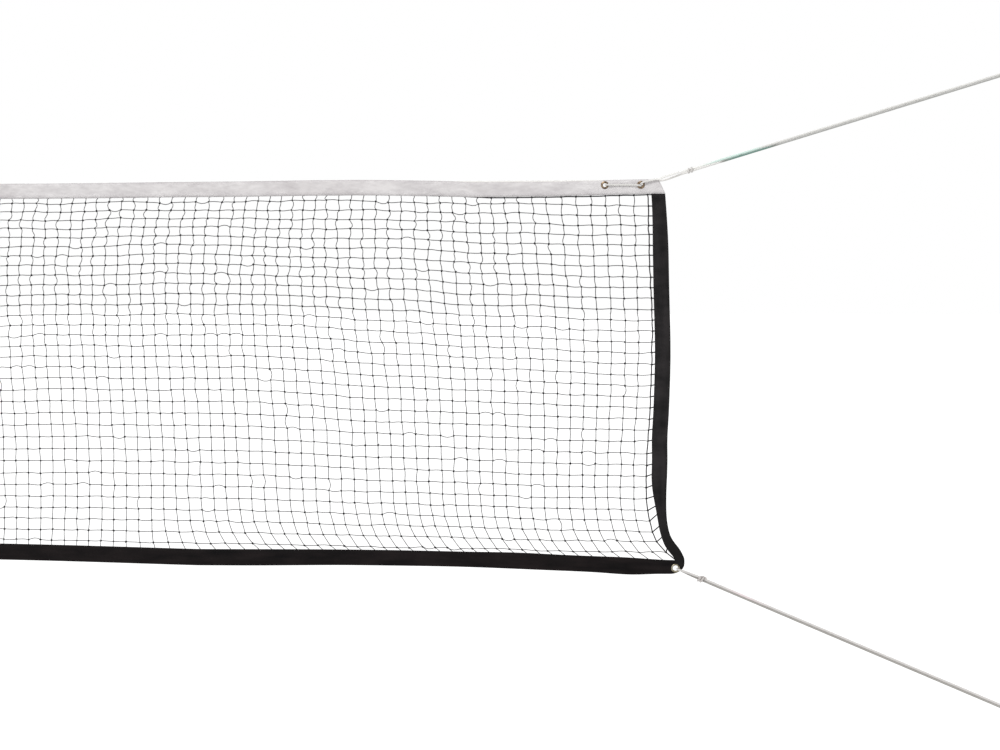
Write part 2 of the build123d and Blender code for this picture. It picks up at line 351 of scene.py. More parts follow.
LACING_LENGTH = 0.23
LACING = [  # from the end of the fold, towards the back and up
    (0.0052, -0.00575, -0.0006),
    (0.0005, -0.00575, 0.0006),
    (-0.0140, -0.0060, -0.0034),
    (-0.0245, -0.0074, -0.0052),
    (-0.0298, -0.0062, -0.0088),
    (-0.0298, 0.0058, -0.0092),
    (-0.0360, 0.0064, -0.0088),
    (-0.0900, 0.0064, -0.0094),
    (-0.0969, 0.0062, -0.0096),
    (-0.0969, -0.0062, -0.0100),
    (-0.0900, -0.0064, -0.0103),
    (-0.0820, -0.0043, -0.0105),
    (-0.0630, -0.0041, -0.0107),
    (-0.0450, -0.0043, -0.0109),
    (-0.0370, -0.0066, -0.0111),
    (-0.0292, -0.0062, -0.0122),
    (-0.0292, 0.0058, -0.0122),
    (-0.0235, 0.0062, -0.0110),
    (0.0032, 0.00575, -0.0012),
    (0.0052, 0.00575, -0.0008),
]
# The lacing is a dimmer white along its middle than at its ends, where it meets the ties.
LACING_STOPS = [(0.0, snow), (0.10, dim_white), (0.88, dim_white), (0.98, snow)]
lacing_braid = braid_material("white_braid_lacing", LACING_STOPS, LACING_LENGTH)
for side in ("right", "left"):
    points = [mirrored(side) @ Vector((FOLD_END + x, y, z)) for x, y, z in LACING]
    lacing, _ = cord_line(f"lacing_{side}", points)
    lacing.data.materials.append(lacing_braid)
    if side == "right":
        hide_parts("lacing_cords")
    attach(lacing, "headband")

# ---------------------------------------------------------------------------------------
# Head cord. It lies inside the fold of the headband, from one inner eyelet to the other.

HEAD_CORD_REACH = FOLD_END - 0.1037  # it ends just short of the inner eyelets
IN_FOLD = -0.00275  # height at which it lies in the fold
head_cord, _ = cord_line("head_cord_braid", [
    (-HEAD_CORD_REACH, 0, IN_FOLD), (0, 0, IN_FOLD), (HEAD_CORD_REACH, 0, IN_FOLD)])
head_cord.data.materials.append(
    braid_material("white_braid_head", [(0.0, white), (1.0, white)], 2 * HEAD_CORD_REACH))
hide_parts("head_cord")
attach(head_cord, "headband")

# ---------------------------------------------------------------------------------------
# Netting. Black twine of 1.4 mm, thicker along its edges, knotted into meshes of about
# 25 mm. It has set in folds at the top, runs straight lower down, and leans out to the
# pulled lower corners.

HEAD_LOW = -27.0  # height of the headband's lower edge
BAND_TOP = -731.0  # and of the bottom band's upper edge
IN_BAND = 8.0  # how far the netting reaches into the bottom band
ROWS = 34
COLUMNS = 239
TWINE, EDGE_TWINE = 1.4, 2.3
SIDE_START, SIDE_OFFSET = 3.5, 11.0  # middle of a side band past the fold's end: sewn, free
SIDE_PULL, STRAND_PULL = 38.0, 50  # how much further out the lower corners are pulled
PULL_REACH = 36.0  # height over which that pull dies away
LEAN_FROM, LEAN_OVER = 1950, 300  # from the middle of the net, where strands lean out
FOLDS_REACH = 860  # in from the fold's end, the length that the tables of folds describe
SIDE_WIDTH = 28.4
END_MESH = 11.0  # from the last strand that hangs to the side band
SPAN = HALF + SIDE_START - SIDE_WIDTH / 2 - END_MESH  # from the middle to that strand
PANELS = 6
rng = random.Random(11)


def ease(share):
    """From 0 to 1 as the share does, starting and ending gently."""
    share = min(1.0, max(0.0, share))
    return share * share * (3 - 2 * share)


def swell(value, middle, reach):
    """1 at the middle, dying away to both sides over the reach."""
    return exp(-((value - middle) / reach) ** 2)


def left_above(z):
    """Share of the pull at the lower corners that is left at height z."""
    return exp((BAND_TOP - z) / PULL_REACH)


def side_middle(z):
    """Middle of a side band at height z, outside the end of the headband's fold."""
    start = (SIDE_START - SIDE_OFFSET) * exp((z - HEAD_LOW) / 90.0)
    sway = 3.3 * swell(z, -335, 100) - 2.0 * swell(z, -500, 40)
    sway += 3.8 * swell(z, -716, 20) - 2.6 * swell(z, -585, 45)
    return SIDE_OFFSET + start + SIDE_PULL * left_above(z) + sway


def side_half(z):
    """Half the width of a side band at height z."""
    whole = 26.6 + 3.6 * ease((HEAD_LOW - z) / 120) - 12.4 * ease((BAND_TOP + 166 - z) / 100)
    return whole / 2 + 3.4 * swell(z, -711, 16)


def headband_sag(x):
    """How far the whole headband hangs below its straight line."""
    inwards = HALF - abs(x)
    near = 2.8 * ease((inwards - 390) / 200) - 1.5 * ease((inwards - 640) / 220)
    near -= 3.0 * ease((inwards - 20) / 200) * (1 - ease((inwards - 330) / 110))
    far = 1.2 * noise.noise((x / 420.0, 4.2, 1.3)) - 1.6
    return near + far * ease((inwards - 900) / 300)


def headband_edge(x):
    """Height of the lower edge of the headband."""
    inwards = HALF - abs(x)
    straight = HEAD_LOW + headband_sag(x)
    return straight - 1.2 * ease(inwards / 60) - 1.8 * ease((inwards - 200) / 250)


HANG_X = (  # by waves along the net, then by shares down it
    (-7.5, 2.5, -4.1, -1.0, 8.5),
    (-2.5, 8.6, 6.3, -0.9, 0.5),
    (11.7, -2.3, 1.2, 0.6, -4.2),
    (1.2, -2.1, 0.0, -0.8, 3.5),
    (3.0, -2.3, 0.5, -0.5, 0.9),
)
HANG_Z = (
    (2.4, 20.5, 6.0, -1.0, 1.5),
    (-5.8, -10.9, -1.2, 0.4, 0.1),
    (-1.2, 2.0, -0.1, -0.6, 0.2),
    (0.5, -1.4, 0.4, 0.4, -0.3),
    (-1.8, 1.2, 0.1, 0.6, 0.5),
)


def hang(table, along, down):
    """Sum of the waves in a table, each a whole number of half waves along the net."""
    return sum(value * cos(pi * i * along) * share
               for i, line in enumerate(table) for value, share in zip(line, down))


def knot_place(column_x, row):
    """Where the strand that starts at column_x has its knot of a row."""
    side = 1 if column_x > 0 else -1
    inwards = HALF - abs(column_x)
    s = row / ROWS
    along = min(1.0, inwards / FOLDS_REACH)
    beyond = max(0.0, inwards / FOLDS_REACH - 1)
    folds = [sin(pi * i * s) for i in (1, 2, 3, 4)]
    z = HEAD_LOW + (BAND_TOP - IN_BAND - HEAD_LOW) * s
    z += hang(HANG_Z, along, [1 - s, *folds]) * (0.62 + 0.38 * cos(1.34 * beyond))
    drift = hang(HANG_X, along, [1 - s, *folds[:3], s]) * exp(-(1.1 * beyond) ** 2)
    lean = STRAND_PULL * ease((abs(column_x) - LEAN_FROM) / LEAN_OVER) * left_above(z)
    loose = 1 - ease((s - 0.15) / 0.55)
    free = ease(inwards / 220)
    zigzag = 3.4 * noise.noise((column_x / 210, row * 0.83, 2.0)) * loose * free * ease(s / 0.02)
    ripple = 4.6 * noise.noise((column_x / 120, s * 3.0, 7.0)) * free * ease(s / 0.04)
    return column_x + side * (drift + lean) + zigzag, z + ripple * (1 - 0.75 * s)


def top_line(x):
    """Height of the line that ends the netting, seen only where the headband lets it out."""
    shows = 1 - ease((HALF - abs(x) - 290) / 70)
    return headband_edge(x) + 1.6 - 3.5 * shows


def kink_amount(x, row):
    """How strongly a hanging strand has kinked between a row and the next."""
    s = row / ROWS
    here = 0.45 + 0.55 * ease((HALF - abs(x) - 120) / 300)
    return 0.3 + 1.5 * (1 - ease((s - 0.12) / 0.55)) * here


def kinked(start, end, amount, across):
    """Places between two knots, bent as set twine is."""
    depth = rng.uniform(-0.5, 0.5)
    bow, wiggle = rng.gauss(0, amount), rng.gauss(0, 0.4 * amount)
    if rng.random() < 0.06 * amount:
        bow = rng.choice((-3.4, 3.4))
    places = []
    for share in (0.25, 0.5, 0.75):
        x = start[0] + (end[0] - start[0]) * share
        z = start[1] + (end[1] - start[1]) * share
        out = bow * sin(pi * share) + wiggle * sin(2 * pi * share)
        y = depth * sin(pi * share)
        places.append((x, y, z + out) if across else (x + out, y, z))
    return places


def edge_rise(row):
    """How much higher a crossing strand meets the side tape than it leaves the last knot."""
    rise = 2.2 * ease((row - 8) / 14) + 2.9 * ease((row - 24) / 3)
    rise += 9.0 * ease((row - 28) / 2) - 5.6 * ease((row - 30) / 3)
    return rise


knots = []
for column in range(COLUMNS + 1):
    start_x = -SPAN + 2 * SPAN * column / COLUMNS
    line = [(knot_place(start_x, 0)[0] + rng.uniform(-0.8, 0.8), top_line(start_x))]
    for row in range(1, ROWS):
        x, z = knot_place(start_x, row)
        line.append((x + rng.gauss(0, 0.7), z + rng.gauss(0, 0.6)))
    line.append(knot_place(start_x, ROWS))
    knots.append(line)


def twine(name, thickness):
    """An empty curve for strands of twine."""
    curve = bpy.data.curves.new(name, "CURVE")
    curve.dimensions = "3D"
    curve.bevel_depth = thickness / 2 * MM
    curve.bevel_resolution = 0
    return curve


def poly_line(curve, points):
    """One strand of twine along points."""
    strand = curve.splines.new("POLY")
    strand.points.add(len(points) - 1)
    for control, (x, y, z) in zip(strand.points, points):
        control.co = (x * MM, y * MM, z * MM, 1)


def twine_mesh(curve):
    """The strands of a curve as one smooth mesh."""
    mesh = as_mesh(placed(curve.name, curve))
    for polygon in mesh.polygons:
        polygon.use_smooth = True
    return mesh


def hanging_strand(column):
    """Points of a strand from inside the headband down into the bottom band."""
    line = knots[column]
    points = [(line[0][0], 0.0, line[0][1] + 3.0)]
    for row, (x, z) in enumerate(line):
        points.append((x, 0.0, z))
        if row < ROWS:
            points += kinked(line[row], line[row + 1], kink_amount(line[0][0], row), False)
    return points


def crossing_strand(row, first, stop):
    """Points of a strand across the columns of a panel."""
    points = []
    for column in range(first, stop + 1):
        x, z = knots[column][row]
        points.append((x, 0.0, z))
        if column < stop:
            points += kinked((x, z), knots[column + 1][row], 0.55 if row else 0.2, True)
    return points


def repeated(shape, places):
    """A mesh of one small shape at many places, given as matrices."""
    shape.verts.ensure_lookup_table()
    verts, faces = [], []
    corners = [v.co.copy() for v in shape.verts]
    sides = [[v.index for v in f.verts] for f in shape.faces]
    for matrix in places:
        first = len(verts)
        verts += [tuple(MM * c for c in matrix @ corner) for corner in corners]
        faces += [[first + i for i in side] for side in sides]
    mesh = bpy.data.meshes.new("repeated")
    mesh.from_pydata(verts, [], faces)
    mesh.polygons.foreach_set("use_smooth", [True] * len(faces))
    return mesh


def shown(name, mesh, material, body):
    """A finished piece at the origin, on its body unless it crosses where the net swings."""
    piece = placed(name, mesh)
    mesh.materials.clear()
    mesh.materials.append(material)
    if body:
        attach(piece, body)
    return piece


def swings(piece):
    """The piece's transform is baked into its mesh, which stays where it is."""
    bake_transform(piece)


def fibre_material(name, roughness, scale, dark, light):
    """Twine or thread, streaked by its fibres."""
    material, shader, add = plain_material(name, roughness)
    fibres = cloudy(add, add("TexCoord").outputs["Object"], scale, 2.0)
    wire(shader, "Base Color", ramp(add, fibres, [(0.3, srgb(dark)), (0.7, srgb(light))]))
    return material, shader


twine_material, shader = fibre_material("black_twine", 0.62, 900.0, "101012", "242326")
shader.inputs["Specular IOR Level"].default_value = 0.2
knot_shape = bmesh.new()
bmesh.ops.create_icosphere(knot_shape, subdivisions=1, radius=1.0)
bmesh.ops.scale(knot_shape, vec=(2.5, 1.5, 2.0), verts=knot_shape.verts)

for panel in range(PANELS):
    first = round(panel * (COLUMNS / PANELS))
    last = round((panel + 1) * (COLUMNS / PANELS))
    own = range(first, last + 1 if panel == PANELS - 1 else last)
    plain, edging = twine(f"strands_{panel}", TWINE), twine(f"edging_{panel}", EDGE_TWINE)
    for column in own:
        poly_line(edging if column in (0, COLUMNS) else plain, hanging_strand(column))
    for row in range(ROWS):
        poly_line(plain if row else edging, crossing_strand(row, first, last))
        for end, side in ((0, -1), (COLUMNS, 1)):
            if end in (first, last):
                x, z = knots[end][row]
                meets = z + edge_rise(row)
                edge = HALF + side_middle(meets) - side_half(meets) + 2.0
                poly_line(edging, [(x, 0.0, z), (side * edge, 0.0, meets)])
    spots = []
    for column in own:
        for x, z in knots[column][:ROWS]:
            turn = Matrix.Rotation(rng.uniform(0, pi), 4, "Y")
            size = Matrix.Scale(rng.uniform(0.85, 1.15), 4)
            spots.append(Matrix.Translation((x, 0, z)) @ turn @ size)
    mesh = twine_mesh(plain)
    joined = bmesh.new()
    for part in (mesh, twine_mesh(edging), repeated(knot_shape, spots)):
        joined.from_mesh(part)
    joined.to_mesh(mesh)
    joined.free()
    piece = shown(f"netting_{panel + 1}", mesh, twine_material, None)
    swings(piece)
    if panel == 0:
        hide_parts("netting")

# ---------------------------------------------------------------------------------------
# Headband. White coated tape, folded lengthways over the head cord and sewn together
# under it over the netting, with ends cut on the slant. It has soft slanting creases.

HEAD_SLANT = 13.0  # the lower edge runs this much past the upper one at each end
HEAD_OUT = 4.0  # and the upper one this much past the end of the fold
HEAD_TAPE = 0.65  # thickness
FINE_PITCH, COARSE_PITCH = 2.5, 6.0  # between the rings of a tape, near its ends and between
PRESSED = 0.35  # how far the tape's faces are pressed in
INNER_EYELET, OUTER_EYELET = 98.5, 29.5  # in from the fold's end
EYELET_DROP = 10.5
TOP_HOLE = 4.95  # radius in the tape, round an eyelet's barrel
TAPE_WIDTH = 0.058  # m, unfolded
WEAVE = 0.0011  # m, from thread to thread


def section_at(bm, places):
    """The vertices of a section, and the edges that join them."""
    ring = [bm.verts.new(place) for place in places]
    return ring, [bm.edges.new(pair) for pair in zip(ring, ring[1:])]


def drawn_out(bm, ring, edges, step, steps):
    """The section repeated step by step along a line, and the last ring and edges."""
    made = bmesh.ops.spin(bm, geom=ring + edges, cent=(0, 0, 0), axis=(1, 0, 0), dvec=step,
                          angle=0, steps=steps, use_duplicate=False)
    ring = [g for g in made["geom_last"] if isinstance(g, bmesh.types.BMVert)]
    edges = [g for g in made["geom_last"] if isinstance(g, bmesh.types.BMEdge)]
    return ring, edges


def band_grid(profile, reach, fine):
    """Tape of a folded section (y, z) run along X, with closer rings near both ends."""
    bm = bmesh.new()
    ring, edges = section_at(bm, [(-reach, y, z) for y, z in profile])
    for length, pitch in ((fine, FINE_PITCH), (2 * (reach - fine), COARSE_PITCH),
                          (fine, FINE_PITCH)):
        steps = max(1, round(length / pitch))
        ring, edges = drawn_out(bm, ring, edges, (length / steps, 0, 0), steps)
    return bm


def lay_out(bm, section, along):
    """A UV map in metres along the tape, and in shares across it from edge to edge."""
    across, total, before = {}, 0.0, section[0]
    for point in section:
        total += (Vector(point) - Vector(before)).length
        across[round(point[0], 3), round(point[1], 3)] = total
        before = point
    layer = bm.loops.layers.uv.new("UVMap")
    for face in bm.faces:
        for loop in face.loops:
            own = [c for i, c in enumerate(loop.vert.co) if i != along]
            share = across[round(own[0], 3), round(own[1], 3)]
            loop[layer].uv = (loop.vert.co[along] * MM, share / total)


def crease(x, z, seed, size, slant):
    """Height of the creases in a tape at a place, about -1 to 1."""
    a = noise.noise(((x + slant * z) / size, z / (3.5 * size), seed))
    b = noise.noise(((x - 1.4 * slant * z) / (0.55 * size), z / size, seed + 9))
    return 0.7 * a + 0.3 * b


def headband_wrinkle(x, z, front):
    """The creases of one face of the headband."""
    return crease(x, z, 1.0 if front else 2.0, 34.0, 1.1)


def headband_lift(x):
    """How far the headband rises and falls in short waves."""
    return 0.45 * crease(x, 0.0, 5.0, 60.0, 0.0)


def form_mesh(bm, name):
    """The mesh of a form, and the form gone."""
    mesh = bpy.data.meshes.new(name)
    bm.to_mesh(mesh)
    bm.free()
    return mesh


def taped(bm, name, material, body):
    """The folded tape, still without thickness, as a smooth piece."""
    bmesh.ops.recalc_face_normals(bm, faces=bm.faces)
    bmesh.ops.scale(bm, vec=(MM, MM, MM), verts=bm.verts)
    for face in bm.faces:
        face.smooth = True
    return shown(name, form_mesh(bm, name), material, body)


def thickened(piece, thickness, holes):
    """The tape gets its thickness, and round holes (x, z, radius) for its eyelets."""
    solid = piece.modifiers.new("thickness", "SOLIDIFY")
    solid.thickness = thickness * MM
    solid.offset = -1
    solid.use_even_offset = False
    punches = []
    for x, z, radius in holes:
        bm = bmesh.new()
        through = Matrix.Translation((x * MM, 0, z * MM)) @ Matrix.Rotation(radians(90), 4, "X")
        bmesh.ops.create_cone(bm, cap_ends=True, segments=40, radius1=radius * MM,
                              radius2=radius * MM, depth=0.03, matrix=through)
        punch = placed("punch", form_mesh(bm, "punch"))
        cut = piece.modifiers.new("hole", "BOOLEAN")
        cut.operation = "DIFFERENCE"
        cut.object = punch
        cut.solver = "EXACT"
        punches.append(punch)
    mesh = final_mesh(piece)
    piece.modifiers.clear()
    piece.data = mesh
    for punch in punches:
        bpy.data.objects.remove(punch)


def coated_material(name, dark, light, roughness, gloss, lines, sheen_streaks, depth, foot=None):
    """Coated tape: a fine plain weave, cloudy, with painted light and shade of slanting creases
    and lengthways streaks of painted sheen; darker at its hems, and at its fold as painted
    shade.
    """
    material, shader, add = plain_material(name, roughness)
    place = add("TexCoord")
    uv = add("SeparateXYZ", i0=place.outputs["UV"])
    warp = calc(add, "SINE", calc(add, "MULTIPLY", uv.outputs[0], 2 * pi / WEAVE))
    weft = calc(add, "SINE", calc(add, "MULTIPLY", uv.outputs[1], 2 * pi * TAPE_WIDTH / WEAVE))
    threads = calc(add, "MULTIPLY", warp, weft)
    slanted = add("Mapping", Vector=place.outputs["Object"], Rotation=(0, radians(35), 0),
                  Scale=(1.0, 1.0, 2.6)).outputs[0]
    lengthways = add("Mapping", Vector=place.outputs["UV"], Scale=(9.0, 7.0, 1.0)).outputs[0]
    # Cloudy tone, plus slanting streaks that paint the light and shade of creases and lengthways
    # streaks that paint sheen; the same pattern also gives the relief.
    mottle_and_crease_shade = calc(add, "MULTIPLY", cloudy(add, slanted, 14.0, 5.0), 0.55)
    for pattern, share in (
        (cloudy(add, slanted, 55.0, 3.0), 0.45 - sheen_streaks * 0.45),
        (cloudy(add, lengthways, 1.0, 3.0), sheen_streaks * 0.45),
    ):
        mottle_and_crease_shade = calc(add, "ADD", mottle_and_crease_shade, calc(add, "MULTIPLY", pattern, share))
    stretches = cloudy(add, place.outputs["Object"], 1.9, 1.0)
    worn = ramp(add, stretches, [(0.35, (0.94, 0.93, 0.93)), (0.60, full)])
    colour = ramp(add, mottle_and_crease_shade, [(0.38, srgb(dark)), (0.60, srgb(light))])
    colour = tinted(add, tinted(add, colour, ramp(add, uv.outputs[1], lines)), worn)
    if foot:
        down = calc(add, "MULTIPLY", uv.outputs[0], -1.0)
        colour = tinted(add, colour, ramp(add, down, foot))
    wire(shader, "Base Color", colour)
    height = calc(add, "ADD", calc(add, "MULTIPLY", threads, 0.10), mottle_and_crease_shade)
    relief(add, shader, height, 0.7, depth)
    shader.inputs["Specular IOR Level"].default_value = gloss
    return material


full, grey, sewn = (1, 1, 1), (0.80, 0.79, 0.80), (0.93, 0.92, 0.93)
# Across the tape from one edge to the other: grey darkens both edges, and the fold in the middle
# as painted shade; sewn darkens the seam lines.
HEADBAND_LINES = [(0.0, grey), (0.02, full), (0.075, full), (0.085, sewn), (0.10, full),
                  (0.435, full), (0.47, grey), (0.53, grey), (0.565, full),
                  (0.90, full), (0.915, sewn), (0.925, full), (0.98, full), (1.0, grey)]
white_tape = coated_material("white_coated_tape", "cbc7c8", "e5e2e2", 0.55, 0.35,
                             HEADBAND_LINES, 0.2, 0.0016)
FRONT = [(-1.8, -27.0), (-1.95, -22.5), (-2.3, -20.0), (-2.55, -16.5), (-2.7, -13.0),
         (-2.75, -9.5), (-2.75, -6.5), (-2.72, -4.2), (-2.5, -2.3), (-2.0, -1.0), (-1.1, -0.25)]
section = FRONT + [(0.0, 0.0)] + [(-y, z) for y, z in reversed(FRONT)]
bm = band_grid(section, HALF, 140.0)
lay_out(bm, section, 0)
for v in bm.verts:
    x, y, z = v.co
    depth = z / HEAD_LOW
    sag = headband_sag(x)
    low = (headband_edge(x) - sag) / HEAD_LOW
    strength = 0.55 * min(1.0, depth * 3) * (1 - 0.5 * depth)
    pressed = strength * headband_wrinkle(x, z, y < 0) - PRESSED * min(1.0, depth * 3)
    near_end = ease((abs(x) - (HALF - 120)) / 120)
    v.co.x = x + (1 if x > 0 else -1) * (HEAD_OUT + HEAD_SLANT * depth) * near_end
    v.co.y = y + (1 if y > 0 else -1) * pressed
    v.co.z = z * (1 + (low - 1) * depth) + headband_lift(x) * (1 - 0.4 * depth) + sag
headband = taped(bm, "headband_tape", white_tape, "headband")
thickened(headband, HEAD_TAPE, [(sign * (HALF - inwards), -EYELET_DROP, TOP_HOLE)
                                for inwards in (INNER_EYELET, OUTER_EYELET) for sign in (-1, 1)])
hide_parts("headband")


def stitches(name, places, material, body):
    """A row of stitches: small flattened threads, each at (x, y, z, slope)."""
    shape = bmesh.new()
    bmesh.ops.create_icosphere(shape, subdivisions=1, radius=1.0)
    bmesh.ops.scale(shape, vec=(1.15, 0.16, 0.24), verts=shape.verts)
    spots = [Matrix.Translation((x, y, z)) @ Matrix.Rotation(-slope, 4, "Y")
             for x, y, z, slope in places]
    return shown(name, repeated(shape, spots), material, body)


def spaced(reach, pitch):
    """Places of the stitches along a band, from -reach to reach."""
    return [-reach + i * pitch for i in range(round(2 * reach / pitch) + 1)]


white_thread, _ = fibre_material("white_thread", 0.6, 1600.0, "b9b5b8", "d6d3d5")
seam = []
for x in spaced(HALF + 8, 3.3):
    z = headband_edge(x) + 3.2 + headband_lift(x) * 0.65
    for face in (-1, 1):
        out = 1.93 + 0.33 * headband_wrinkle(x, z, face < 0) - PRESSED + 0.05
        seam.append((x, face * out, z, 0.0))
headband_seam = stitches("headband_seam", seam, white_thread, "headband")

# ---------------------------------------------------------------------------------------
# Side bands. Black tape folded lengthways over the edge of the netting and sewn through,
# pulled narrow and outwards by the tie at the lower corner.

SIDE_TOP, SIDE_LOW = -27.4, -748.0
SIDE_RINGS = 240
BLACK_TAPE = 0.6  # thickness
CORNER_HOLE = 6.55  # radius in the tape
CORNER_END = 58.5  # how far past the fold's end the lower corner goes
ROUND_FROM, ROUND_OVER = -737, 23.0  # height where it starts to round off, and how far down
STITCH_PITCH = 3.4
# Across the tape from edge to edge: grey darkens both edges, and the fold in the middle as
# painted shade.
BLACK_LINES = [(0.0, grey), (0.03, full), (0.47, full), (0.5, grey), (0.53, full),
               (0.97, full), (1.0, grey)]
FOOT = [(0.60, full), (0.70, (0.42, 0.40, 0.40))]  # m down the tape, where it darkens
black_tape = coated_material("black_tape", "070607", "252223", 0.5, 0.13,
                             BLACK_LINES, 0.8, 0.0012, FOOT)
black_thread, shader = fibre_material("black_thread", 0.6, 1600.0, "0c0c0d", "1b1a1c")
shader.inputs["Specular IOR Level"].default_value = 0.15


def corner_end(z):
    """How far out the rounded lower corner goes at height z."""
    down = min(1.0, max(0.0, (ROUND_FROM - z) / ROUND_OVER))
    return CORNER_END - 30.0 * (1 - (1 - down ** 2.1) ** (1 / 2.1))


def side_outer(z):
    """Outer edge of a side band at height z, which gives way gently to the rounded corner."""
    outer, limit = side_middle(z) + side_half(z), corner_end(z) + 0.2
    return (outer + limit - sqrt((outer - limit) ** 2 + 4)) / 2


# Across the tape in halves of its width, and out from its middle
ACROSS = [(-1.0, 1.55), (-0.92, 2.0), (-0.7, 2.15), (-0.35, 2.2), (0.0, 2.2), (0.35, 2.15),
          (0.65, 1.95), (0.85, 1.55), (0.95, 1.1), (0.99, 0.5)]
section = [(q, -y) for q, y in ACROSS] + [(1.0, 0.0)] + [(q, y) for q, y in reversed(ACROSS)]
for side, sign in (("right", 1), ("left", -1)):
    bm = bmesh.new()
    ring, edges = section_at(bm, [(q, y, SIDE_TOP) for q, y in section])
    drawn_out(bm, ring, edges, (0, 0, (SIDE_LOW - SIDE_TOP) / SIDE_RINGS), SIDE_RINGS)
    lay_out(bm, section, 2)
    for v in bm.verts:
        q, y, z = v.co
        thin = 0.3 + 0.7 * ease((SIDE_TOP - z) / 3.0)
        over = ease((BAND_TOP + 10 - z) / 10)
        fold = crease(z, q * 14, 3.0 if y < 0 else 4.0, 55.0, 0.5)
        creased = (1 if y > 0 else -1) * (abs(y) > 1.2) * (0.35 * fold - 0.15)
        v.co.x = sign * (HALF + side_outer(z) + (q - 1) * side_half(z))
        v.co.y = y * thin * (1 + 0.25 * over) + creased
    piece = taped(bm, f"side_tape_{side}", black_tape, None)
    thickened(piece, BLACK_TAPE, [(sign * (HALF + CORNER_OUT), CORNER_HEIGHT, CORNER_HOLE)])
    swings(piece)
    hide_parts(f"side_band_{side}")
    seam = []
    for i in range(200):
        z = -30 - i * STITCH_PITCH
        x = HALF + side_middle(z) - side_half(z) + 3.2
        seam += [(sign * x, face * 2.2, z, radians(90)) for face in (-1, 1)]
    line = stitches(f"side_seam_{side}", seam, black_thread, None)
    swings(line)

# ---------------------------------------------------------------------------------------
# Bottom band. The same black tape folded up over the lower edge of the netting, out to
# both lower corners, which are rounded off and carry the eyelets.

BAND_HEIGHT = 29.0
CORNER_FROM = HALF - 40  # where the tape starts to follow the rounding of its corner
BOTTOM_FRONT = [(-1.75, -731.0), (-2.1, -733.5), (-2.2, -738.0), (-2.2, -743.0), (-2.2, -748.0),
                (-2.15, -753.0), (-2.0, -757.2), (-1.5, -759.2), (-0.8, -759.9)]
section = BOTTOM_FRONT + [(0.0, -760.0)] + [(-y, z) for y, z in reversed(BOTTOM_FRONT)]
# A darker, less glossy copy of the black tape for this band: painted shade, as its face turns
# down a little.
shaded_lower_tape = coated_material("black_tape_lower_shaded", "070506", "1a1515", 0.5, 0.07,
                             BLACK_LINES, 0.8, 0.0012)


def lower_wave(x):
    """How far the band has risen where it isn't held."""
    inwards = HALF - abs(x)
    if inwards < 60:
        return 0.0
    swing = abs(sin(pi * (inwards - 60) / 850)) ** 1.2
    strength = 5.2 if inwards < 910 else 3.0 + 2.0 * noise.noise((x / 900.0, 0.7, 3.1))
    return strength * swing


def upper_rise(x):
    """How far its upper edge lies above its straight line."""
    inwards = HALF - abs(x)
    return 1.5 + 1.6 * swell(inwards, 265, 75) - 4.0 * ease((75 - inwards) / 110)


def lower_fall(x):
    """How far its lower edge lies below its straight line: it bulges inside the corner."""
    inwards = HALF - abs(x)
    held = 2.8 * swell(inwards, 45, 55) - 1.0 * swell(inwards, 370, 120)
    return held + 0.5 + 1.8 * ease((inwards - 580) / 230)


bm = band_grid(section, HALF + CORNER_END, 160.0)
lay_out(bm, section, 0)
for v in bm.verts:
    x, y, z = v.co
    if abs(x) > CORNER_FROM:
        share = (abs(x) - CORNER_FROM) / (HALF + CORNER_END - CORNER_FROM)
        rounded = CORNER_FROM + share * (HALF + corner_end(z) - CORNER_FROM)
        v.co.x = (1 if x > 0 else -1) * rounded
    fold = crease(x, z, 6.0 if y < 0 else 7.0, 60.0, 0.6)
    creased = (1 if y > 0 else -1) * (abs(y) > 1.9) * (0.35 * fold - 0.15)
    closing = 1 - 0.62 * ease((abs(x) - (HALF + 38)) / 19)
    down = (BAND_TOP - z) / BAND_HEIGHT
    v.co.y = (y + creased) * closing
    v.co.z = z + lower_wave(x) + upper_rise(x) * (1 - down) - lower_fall(x) * down
bottom = taped(bm, "bottom_tape", shaded_lower_tape, "curtain")
thickened(bottom, BLACK_TAPE,
          [(sign * (HALF + CORNER_OUT), CORNER_HEIGHT, CORNER_HOLE) for sign in (-1, 1)])
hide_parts("bottom_band")
seam = []
for x in spaced(HALF + 20, STITCH_PITCH):
    z = -734.5 + lower_wave(x) + 0.88 * upper_rise(x) - 0.12 * lower_fall(x)
    seam += [(x, face * 2.12, z, 0.0) for face in (-1, 1)]
bottom_seam = stitches("bottom_seam", seam, black_thread, "curtain")

# ---------------------------------------------------------------------------------------
# Eyelets, pressed from sheet and closed through the tape: a domed flange at the front, a
# barrel, and a roll at the back. Brass, gone brown, in the headband; nickel below.


